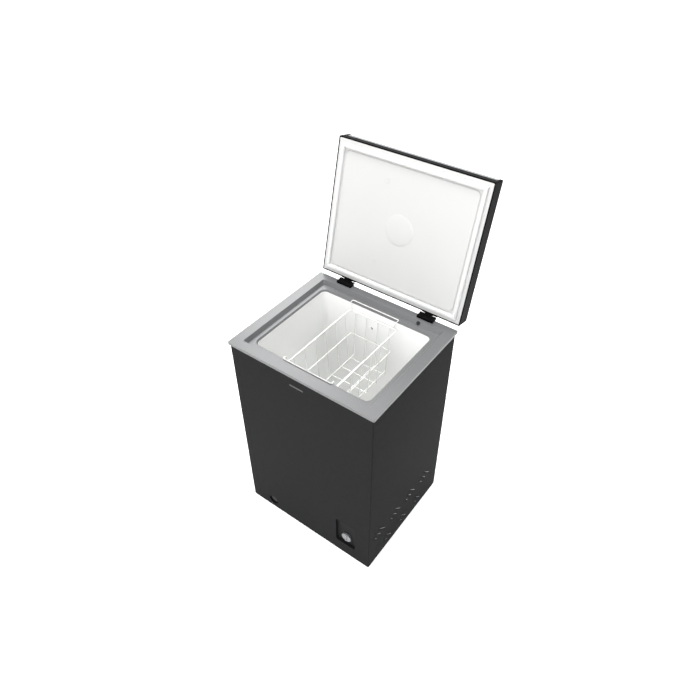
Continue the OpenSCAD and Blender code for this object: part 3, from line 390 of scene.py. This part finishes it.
choose(liner, "EDGE", lambda a, b: min(a.z, b.z) > liner_high.z - 0.00001)
bpy.ops.mesh.extrude_region_move(TRANSFORM_OT_translate={"value": (0, 0, 0)})
bpy.ops.transform.resize(value=(1 + rim_flange / half_w, 1 + rim_flange / half_d, 1), center_override=(0, 0, 0))
bpy.ops.object.mode_set(mode="OBJECT")
bpy.ops.object.select_all(action="DESELECT")
bpy.ops.mesh.primitive_cylinder_add(vertices=40, radius=drain_radius, depth=0.02, location=(-0.167, -0.15, tank_floor))
bore = bpy.context.object
apply_modifier(liner, "SOLIDIFY", thickness=0.001, offset=-1)
apply_modifier(liner, "BOOLEAN", object=bore, operation="DIFFERENCE")
bpy.data.objects.remove(bore)
smooth(liner)
settle(liner, "formed_liner", liner_polystyrene, "white_liner", "cabinet", "liner")

# ---- Cold and hot tubes ----
# Flat aluminium tube is wound round the liner as the evaporator, and copper tube is taped inside the steel
# wrap as the condenser. Copper pipes, brazed at their ends, join both to the compressor and the drier.

# Extruded aluminium: pale grey, with draw lines along its length
drawn_aluminium, shader = new_material("drawn_aluminium", Metallic=1.0)
surface(drawn_aluminium, shader, ("#c2c6ca", "#d0d3d6"), (0.28, 0.4), 6, 0.02)
finish(drawn_aluminium, "evaporator_coil")

# Refrigeration copper: salmon, darkened to brown in patches where it was brazed and handled
drawn_copper, shader = new_material("drawn_copper", Metallic=1.0)
surface(drawn_copper, shader, ("#c9825a", "#8e5136"), (0.24, 0.42), 9, 0.02)
finish(drawn_copper, "condenser_coil", "suction_pipe", "discharge_pipe", "liquid_line", "capillary_tube",
       "sensor_tube")
settle(softened("filter_drier", 1.6, 3), "spun_filter_drier", drawn_copper, "copper_tube", "cabinet", "filter_drier")

# ---- Compressor ----
# A sealed compressor: two deep-drawn steel shells welded round their middle, painted black, with its ports
# brazed in the crown and its relay under a plastic cover. It sits on rubber grommets, bolted to the base.

# Stoved enamel over pressed steel: semi-gloss black with a slight orange peel
stoved_enamel, shader = new_material("stoved_black_enamel")
surface(stoved_enamel, shader, ("#141516", "#1b1c1e"), (0.3, 0.42), 4, 0.08)
settle(softened("compressor", 1.0, 2), "sealed_compressor", stoved_enamel, "compressor_black", "cabinet",
       "compressor")
settle(softened("compressor_grommets", 0.8, 2), "mounting_grommets", nitrile_rubber, "black_rubber", "cabinet",
       "compressor_grommets")

# Zinc-plated steel: bright grey with a faint blue and a scatter of tiny tool marks
zinc_plate, shader = new_material("zinc_plated_steel", Metallic=1.0)
surface(zinc_plate, shader, ("#aab0b6", "#c3c8cc"), (0.26, 0.4), 1.5, 0.03)
settle(softened("compressor_bolts", 0.5, 2), "compressor_hex_bolts", zinc_plate, "zinc_screws", "cabinet",
       "compressor_bolts")

# Black polypropylene and ABS mouldings: satin, with a fine spark-eroded grain
black_abs, shader = new_material("black_abs_moulding", Specular_IOR_Level=0.35)
surface(black_abs, shader, ("#0f1011", "#161719"), (0.38, 0.5), 0.9, 0.05)
settle(softened("relay_cover", 2.5, 3), "relay_housing", black_abs, "dark_plastic", "cabinet", "relay_cover")
finish(black_abs, "control_cable")
settle(softened("rear_cover", 0.5, 2), "vented_bay_cover", black_abs, "dark_plastic", "cabinet", "rear_cover")
settle(softened("cord_gland", 0.9, 3), "cord_inlet_gland", black_abs, "black_plastic", "cabinet", "cord_gland")


def cross_slots(piece, centres, width, depth):
    """Cuts a cross recess into each screw head, whose outside faces +Y at the centres given."""
    for centre in centres:
        for size in ((width, depth, width / 4), (width / 4, depth, width)):
            half = Vector(size) / 2
            cutter = slab(Vector(centre) - half, Vector(centre) + half)
            apply_modifier(piece, "BOOLEAN", object=cutter, operation="DIFFERENCE")
            bpy.data.objects.remove(cutter)


cover_screws = softened("cover_screws", 0)
low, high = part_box("cover_screws")
reach = 0.0032
cross_slots(cover_screws, [(x, high.y, z) for x in (low.x + reach, high.x - reach)
                           for z in (low.z + reach, high.z - reach)], 0.0036, 0.0016)
settle(cover_screws, "bay_cover_screws", zinc_plate, "zinc_screws", "cabinet", "cover_screws")

# ---- Collar ----
# The grey frame round the top opening, one moulding that clips over the steel: a flat band, a sloping pocket,
# a ledge that carries the basket, and a bevel down to the liner.

# Grey ABS, moulded: satin with a fine even grain, so it shines softly where the light comes from behind
grey_abs, shader = new_material("grey_abs_collar", IOR=1.53, Specular_IOR_Level=0.6)
surface(grey_abs, shader, ("#5b5c5d", "#616263"), (0.28, 0.36), 1.2, 0.02)
settle(softened("collar", 0.9, 3), "grey_collar", grey_abs, "grey_collar", "cabinet", "collar")

# ---- Collar plug ----
# A black blanking plug pushed into a hole in the collar's back slope, dished in the middle.
settle(softened("collar_plug", 0.4, 2), "blanking_plug", black_abs, "black_plastic", "cabinet", "collar_plug")

# ---- Sensor hood ----
# A small white hood clipped over the thermostat's sensing tube where it enters the liner's back wall, open at
# one side. A black rubber ring inside it is painted shade, darkening the hood's open mouth.
cap_low, cap_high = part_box("sensor_cap")
hood_radius = 0.009
hood_centre = Vector(((cap_low.x + cap_high.x) / 2, half_d, (cap_low.z + cap_high.z) / 2))
bpy.ops.object.select_all(action="DESELECT")
bpy.ops.mesh.primitive_uv_sphere_add(segments=40, ring_count=24, radius=hood_radius)
hood = bpy.context.object
bpy.ops.object.mode_set(mode="EDIT")
bpy.ops.mesh.select_all(action="SELECT")
bpy.ops.mesh.bisect(plane_co=(0, 0, 0), plane_no=(0, 1, 0), clear_outer=True)
bpy.ops.mesh.select_all(action="SELECT")
bpy.ops.mesh.bisect(plane_co=(0.004, 0, 0.002), plane_no=(0.8, 0, 0.6), clear_outer=True)
bpy.ops.object.mode_set(mode="OBJECT")
hood.data.transform(Matrix.Translation(hood_centre) @ Matrix.Diagonal((1, 0.5, 1, 1)))
apply_modifier(hood, "SOLIDIFY", thickness=0.0008, offset=-1)
smooth(hood)
settle(hood, "sensor_hood", liner_polystyrene, "white_plastic", "cabinet", "sensor_cap")
# The black ring in the hood's mouth: painted shade, so that the opening reads dark.
bpy.ops.object.select_all(action="DESELECT")
bpy.ops.mesh.primitive_torus_add(major_radius=0.0036, minor_radius=0.0014, major_segments=32, minor_segments=12,
                                 rotation=(math.radians(90), 0, 0), location=hood_centre + Vector((0.001, -0.001, 0)))
bpy.ops.object.transform_apply(location=True, rotation=True, scale=False)
hood_shade_ring = bpy.context.object
smooth(hood_shade_ring, 60)
settle(hood_shade_ring, "sensor_hood_shade_ring", nitrile_rubber, "black_rubber", "cabinet")

# ---- Hinges ----
# Two black hinges: a die-cast block bolted down the cabinet's back, a leaf screwed to the lid's back edge, and
# a steel pin through the knuckles of both.

# Die-cast zinc, powder coated: black, softly uneven, glossier on the worn edges
coated_casting, shader = new_material("black_coated_casting", Specular_IOR_Level=0.03)
surface(coated_casting, shader, ("#070708", "#0b0b0c"), (0.36, 0.5), 1.6, 0.08)
for side in ("left", "right"):
    settle(softened("hinge_base_" + side, 0.9, 3), "hinge_block_" + side, coated_casting, "hinge_black", "cabinet",
           "hinge_base_" + side)
    settle(softened("hinge_leaf_" + side, 0.8, 3), "hinge_plate_" + side, coated_casting, "hinge_black", "lid",
           "hinge_leaf_" + side)
settle(softened("hinge_pins", 0.4, 2), "steel_hinge_pins", zinc_plate, "zinc_screws", "cabinet", "hinge_pins")

hinge_x, screw_span = 0.16, 0.018
axis_y, axis_z = 0.2345, 0.7922
open_angle = math.radians(103.4)
hinge_pivot = Matrix.Translation((0, axis_y, axis_z))
swing = hinge_pivot @ Matrix.Rotation(-open_angle, 4, "X") @ hinge_pivot.inverted()
screw_places = [side * hinge_x + offset * screw_span for side in (-1, 1) for offset in (-1, 1)]
body_screws = softened("hinge_body_screws", 0)
low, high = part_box("hinge_body_screws")
cross_slots(body_screws, [(x, high.y, (low.z + high.z) / 2) for x in screw_places], 0.0044, 0.002)
settle(body_screws, "hinge_block_screws", zinc_plate, "zinc_screws", "cabinet", "hinge_body_screws")
lid_screws = softened("hinge_lid_screws", 0)
lid_screws.data.transform(swing.inverted())
cross_slots(lid_screws, [(x, 0.2334, 0.823) for x in screw_places], 0.0044, 0.002)
lid_screws.data.transform(swing)
settle(lid_screws, "hinge_plate_screws", zinc_plate, "zinc_screws", "lid", "hinge_lid_screws")

# ---- Lid shell and grip strip ----
# The lid's outer shell is one deep black moulding with a rolled edge, and a strip along its front edge, between
# two black ears, makes the grip. The strip is coloured satin grey as painted reflection of the light from above.

# Acrylic-capped ABS: black and satin, with a faint ripple
lid_black, shader = new_material("black_capped_abs", Specular_IOR_Level=0.02)
surface(lid_black, shader, ("#0a0a0b", "#0d0d0e"), (0.38, 0.48), 6, 0.06)
settle(softened("lid_shell", 0.8, 3), "lid_outer_shell", lid_black, "lid_black", "lid", "lid_shell")

# Painted reflection: the grip strip is coloured mid grey for the light its edge reflects from above, brushed along
# its length with fine lines about 2 mm apart
grip_reflection_grey, shader = new_material("grey_painted_reflection_grip", Metallic=0.3)
surface(grip_reflection_grey, shader, ("#7f8183", "#8c8e90"), (0.34, 0.44), 2, 0.02)
settle(softened("lid_front_trim", 0.7, 3), "lid_grip_strip", grip_reflection_grey, "grey_plastic", "lid", "lid_front_trim")

# ---- Lid inner panel ----
# White vacuum-formed sheet that closes the foam in. Its middle stands proud, with round corners, and a shallow
# round crown is pressed into the centre of it, where the foam was poured.

# High-impact polystyrene for the lid, satin: the same white sheet as the liner, painted a light grey here as painted
# shade, to hold down the strong front light the panel catches
shaded_panel_polystyrene, shader = new_material("shaded_polystyrene_panel", IOR=1.55, Specular_IOR_Level=0.4)
surface(shaded_panel_polystyrene, shader, ("#bfbfbe", "#c2c2c1"), (0.36, 0.46), 30, 0.06)
lid_w, lid_d, lid_y, lid_z = 0.54, 0.455, 0.0005, 0.797
edge, skin = 0.0042, 0.0015
raised_edge, raised_drop, slope = 0.036, 0.003, 0.0028
panel = slab((edge - lid_w / 2, lid_y + edge - lid_d / 2, lid_z), (lid_w / 2 - edge, lid_y + lid_d / 2 - edge,
                                                                 lid_z + skin))
choose(panel, "FACE", lambda centre, normal: normal.z < -0.9)
bpy.ops.mesh.inset(thickness=raised_edge - edge - slope, depth=0)
bpy.ops.mesh.bevel(offset=0.02, segments=7, affect="VERTICES")
choose(panel, "FACE", lambda centre, normal: normal.z < -0.9 and abs(centre.x) < 0.01
       and abs(centre.y - lid_y) < 0.01)
bpy.ops.mesh.inset(thickness=slope, depth=raised_drop)
bpy.ops.mesh.inset(thickness=0.004, depth=0)
bpy.ops.object.mode_set(mode="OBJECT")
apply_modifier(panel, "BEVEL", width=0.0012, segments=4, limit_method="ANGLE", angle_limit=math.radians(25))
crown_radius, crown_drop = 0.05, 0.0025
bpy.ops.object.select_all(action="DESELECT")
bpy.ops.mesh.primitive_uv_sphere_add(segments=96, ring_count=32, radius=crown_radius)
crown = bpy.context.object
bpy.ops.object.mode_set(mode="EDIT")
bpy.ops.mesh.select_all(action="SELECT")
bpy.ops.mesh.bisect(plane_co=(0, 0, 0), plane_no=(0, 0, 1), clear_outer=True)
bpy.ops.object.mode_set(mode="OBJECT")
crown.data.transform(Matrix.Translation((0, lid_y, lid_z - raised_drop))
                     @ Matrix.Diagonal((1, 1, crown_drop / crown_radius, 1)))
panel = merge([panel, crown])
panel.data.transform(swing)
smooth(panel, 30)
settle(panel, "lid_lining_panel", shaded_panel_polystyrene, "white_plastic", "lid", "lid_inner_panel")

# ---- Lid gasket ----
# A soft white magnetic gasket, extruded as a hollow bulb, cut to four lengths and welded at mitred corners. Its
# foot snaps into a groove between the panel and the shell.

# Plasticised PVC: white and matt, painted a light grey as painted shade to hold down the strong light the gasket
# catches, with a light dusting that breaks up its sheen
shaded_gasket_pvc, shader = new_material("white_gasket_vinyl", Specular_IOR_Level=0.3, Subsurface_Weight=0.05)
surface(shaded_gasket_pvc, shader, ("#cececd", "#d2d2d1"), (0.5, 0.62), 5, 0.04)
gasket_in, gasket_w, gasket_h = 0.016, 0.013, 0.0097
bpy.ops.object.select_all(action="DESELECT")
bpy.ops.mesh.primitive_plane_add(size=1, location=(0, lid_y, lid_z))
gasket = bpy.context.object
gasket.scale = (lid_w - 2 * gasket_in, lid_d - 2 * gasket_in, 1)
bpy.ops.object.transform_apply(location=True, rotation=False, scale=True)
choose(gasket, "FACE", lambda centre, normal: True)
bpy.ops.mesh.inset(thickness=gasket_w, depth=0)
bpy.ops.mesh.delete(type="FACE")
bpy.ops.object.mode_set(mode="OBJECT")
apply_modifier(gasket, "SOLIDIFY", thickness=gasket_h, offset=-1)
choose(gasket, "EDGE", lambda a, b: max(a.z, b.z) < lid_z - 0.9 * gasket_h
       and min(abs(a.x - b.x), abs(a.y - b.y)) < 0.0001)
bpy.ops.mesh.bevel(offset=0.0055, segments=7, affect="EDGES")
bpy.ops.object.mode_set(mode="OBJECT")
gasket.data.transform(swing)
smooth(gasket, 40)
settle(gasket, "magnetic_gasket", shaded_gasket_pvc, "gasket_rubber", "lid", "lid_gasket")

# ---- Lid plugs ----
# Two white push-in plugs close the foam's vent holes in the inner panel.
# The plugs share the panel's light grey, which is painted shade on white plastic.
settle(softened("lid_plugs", 0.5, 3), "panel_vent_plugs", shaded_panel_polystyrene, "white_plastic", "lid", "lid_plugs")

# ---- Wire basket ----
# Mild steel wire, bent to U shapes and welded under a 4 mm top ring, then dipped in white plastic. It hangs
# from its two end handles, which rest on the collar's ledges.


def wire(points, radius, bend, closed=False):
    """A round wire through the points, its corners rounded over a length of bend, as a mesh."""
    points = [Vector(point) for point in points]
    count = len(points)
    route = []
    for i, point in enumerate(points):
        if not closed and i in (0, count - 1):
            route.append(point)
            continue
        before = point + (points[i - 1] - point).normalized() * bend
        after = point + (points[(i + 1) % count] - point).normalized() * bend
        for step in range(6):
            share = step / 5
            route.append(before.lerp(point, share).lerp(point.lerp(after, share), share))
    curve = bpy.data.curves.new("wire", "CURVE")
    curve.dimensions = "3D"
    curve.bevel_depth = radius
    curve.bevel_resolution = 3
    curve.use_fill_caps = True
    spline = curve.splines.new("POLY")
    spline.points.add(len(route) - 1)
    for place, point in zip(spline.points, route):
        place.co = (*point, 1)
    spline.use_cyclic_u = closed
    piece = bpy.data.objects.new("wire", curve)
    bpy.context.collection.objects.link(piece)
    select_only(piece)
    bpy.ops.object.convert(target="MESH")
    return bpy.context.object


def joined(parts):
    """Several meshes as one piece, shaded smooth."""
    piece = merge(parts)
    smooth(piece, 50)
    return piece


# Polyethylene-dipped steel wire: white and glossy, with a soft unevenness where the coating ran
dipped_wire, shader = new_material("white_dipped_wire", IOR=1.5)
surface(dipped_wire, shader, ("#e2e2e0", "#e7e7e5"), (0.2, 0.32), 6, 0.06)
mid_x, ring_z = -0.004, 0.743
ring_half_w, ring_half_l = 0.093, 0.165
basket_h, lean = 0.186, 0.0145
ring_r, wire_r = 0.002, 0.0015
inside = ring_r + wire_r - 0.0007
top_z, low_z = ring_z + 0.0006, ring_z - basket_h + wire_r
foot_w, foot_l = ring_half_w - lean, ring_half_l - lean
wires = [wire([(mid_x - ring_half_w, -ring_half_l, ring_z), (mid_x + ring_half_w, -ring_half_l, ring_z),
               (mid_x + ring_half_w, ring_half_l, ring_z), (mid_x - ring_half_w, ring_half_l, ring_z)],
              ring_r, 0.009, True)]
for i in range(4):
    x = mid_x + (i - 1.5) * 0.045
    z = low_z + 2 * wire_r - 0.0007
    wires.append(wire([(x, inside - ring_half_l, top_z), (x, -foot_l, z), (x, foot_l, z),
                       (x, ring_half_l - inside, top_z)], wire_r, 0.006))
for i in range(6):
    y = (i - 2.5) * 0.053
    wires.append(wire([(mid_x + inside - ring_half_w, y, top_z), (mid_x - foot_w, y, low_z),
                       (mid_x + foot_w, y, low_z), (mid_x + ring_half_w - inside, y, top_z)], wire_r, 0.006))
hoop_share = 0.48
hoop_z = ring_z - basket_h * hoop_share
hoop_w = ring_half_w - lean * hoop_share - inside - wire_r
hoop_l = ring_half_l - lean * hoop_share - inside - wire_r
wires.append(wire([(mid_x - hoop_w, -hoop_l, hoop_z), (mid_x + hoop_w, -hoop_l, hoop_z),
                   (mid_x + hoop_w, hoop_l, hoop_z), (mid_x - hoop_w, hoop_l, hoop_z)], wire_r, 0.006, True))
settle(joined(wires), "wire_basket", dipped_wire, "white_wire", "basket", "basket")

# ---- Basket handles ----
# One bail of the same wire at each end. Its feet are wound twice round the basket's end wire, so it folds
# inwards, and its flat loop lies on the collar's ledge.
eye_x, handle_half, handle_z, handle_reach = 0.081, 0.091, 0.7748, 0.014
coil_r, coil_wire = 0.00295, 0.0009
for side, name in ((-1, "front"), (1, "rear")):
    y = side * ring_half_l
    outer_y = y + side * handle_reach
    parts = [wire([(mid_x - eye_x, y, ring_z + coil_r), (mid_x - handle_half, y, handle_z),
                   (mid_x - handle_half, outer_y, handle_z), (mid_x + handle_half, outer_y, handle_z),
                   (mid_x + handle_half, y, handle_z), (mid_x + eye_x, y, ring_z + coil_r)], wire_r, 0.004)]
    for end in (-1, 1):
        turns = [(mid_x + end * eye_x + (step / 24 - 1) * 0.0018, y + coil_r * math.sin(step * math.pi / 12),
                  ring_z + coil_r * math.cos(step * math.pi / 12)) for step in range(49)]
        parts.append(wire(turns, coil_wire, 0.0001))
    settle(joined(parts), "basket_bail_" + name, dipped_wire, "white_wire", "basket_handle_" + name,
           "basket_handle_" + name)

# ---- Control tray, dial and thermostat ----
# A black tray is set behind the steel, low on the right of the front. The dial in it turns the thermostat,
# whose sensing tube runs up to the liner's back wall.

# Black polypropylene, moulded matt to go with the painted steel
tray_polypropylene, shader = new_material("black_polypropylene_tray", Specular_IOR_Level=0.03)
surface(tray_polypropylene, shader, ("#202021", "#242425"), (0.45, 0.56), 1.4, 0.04)
settle(softened("control_panel", 1.2, 3), "control_tray", tray_polypropylene, "black_plastic", "cabinet",
       "control_panel")

# Grey glass-filled nylon for the thermostat, hidden behind the tray
thermostat_nylon, shader = new_material("grey_thermostat_nylon")
surface(thermostat_nylon, shader, ("#c9cacb", "#d3d4d4"), (0.45, 0.6), 2, 0.05)
settle(softened("thermostat_body", 1.0, 2), "thermostat_case", thermostat_nylon, "white_plastic", "cabinet",
       "thermostat_body")
finish(zinc_plate, "thermostat_spindle")

# Light grey ABS dial: satin, with ribs round its edge and a bar across its face to grip
dial_abs, shader = new_material("light_grey_abs_dial")
surface(dial_abs, shader, ("#7b7c7e", "#838486"), (0.36, 0.46), 1, 0.03)
dial_low, dial_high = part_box("thermostat_dial")
dial_x, dial_z = (dial_low.x + dial_high.x) / 2, (dial_low.z + dial_high.z) / 2
dial_r, disc_t, bar_h = 0.019, 0.0055, 0.003
ribs = 48
bpy.ops.object.select_all(action="DESELECT")
bpy.ops.mesh.primitive_cylinder_add(vertices=2 * ribs, radius=dial_r, depth=disc_t,
                                    rotation=(math.radians(90), 0, 0),
                                    location=(dial_x, dial_high.y - disc_t / 2, dial_z))
dial = bpy.context.object
bpy.ops.object.transform_apply(location=True, rotation=True, scale=False)
choose(dial, "FACE", lambda centre, normal: normal.y < -0.9)
bpy.ops.mesh.inset(thickness=0.0012, depth=0.0006)
bpy.ops.mesh.inset(thickness=0.001, depth=0)
bpy.ops.mesh.inset(thickness=0.0008, depth=-0.0007)


def on_rib(centre, normal):
    turn = math.atan2(centre.z - dial_z, centre.x - dial_x) / math.tau * ribs
    return abs(normal.y) < 0.1 and int(math.floor(turn + 0.5)) % 2 == 0


choose(dial, "FACE", on_rib)
bpy.ops.mesh.inset(thickness=0.0002, depth=-0.0006, use_individual=True)
bpy.ops.object.mode_set(mode="OBJECT")
bar = slab((dial_x - 0.0035, dial_low.y, dial_z - 0.0165), (dial_x + 0.0035, dial_low.y + bar_h + 0.001,
                                                          dial_z + 0.0165))
apply_modifier(bar, "BEVEL", width=0.0012, segments=4, limit_method="ANGLE")
settle(joined([dial, bar]), "temperature_dial", dial_abs, "grey_plastic", "thermostat_knob", "thermostat_dial")

# ---- Drain ----
# Melt water runs from a plugged hole in the liner's floor through a PVC elbow to a spout low on the left of
# the front, where a cap is pushed over it inside a round cup.
settle(softened("drain_recess", 0.8, 3), "drain_cup", tray_polypropylene, "black_plastic", "cabinet",
       "drain_recess")
finish(thermostat_nylon, "drain_tube")
settle(softened("drain_cap", 0.7, 3), "drain_spout_cap", black_abs, "black_plastic", "drain_cap", "drain_cap")
settle(softened("drain_plug", 0.7, 3), "liner_drain_plug", liner_polystyrene, "white_plastic", "drain_plug",
       "drain_plug")

# ---- Name plate ----
# A blank strip of dark anodised aluminium, glued on below the collar.

# Anodised aluminium, brushed: dark grey with a dull metallic sheen
anodised_plate, shader = new_material("dark_anodised_aluminium", Metallic=0.6)
surface(anodised_plate, shader, ("#3a3b3c", "#444547"), (0.36, 0.5), 2, 0.02)
settle(softened("badge_plate", 0.2, 2), "blank_name_plate", anodised_plate, "grey_plastic", "cabinet", "badge_plate")
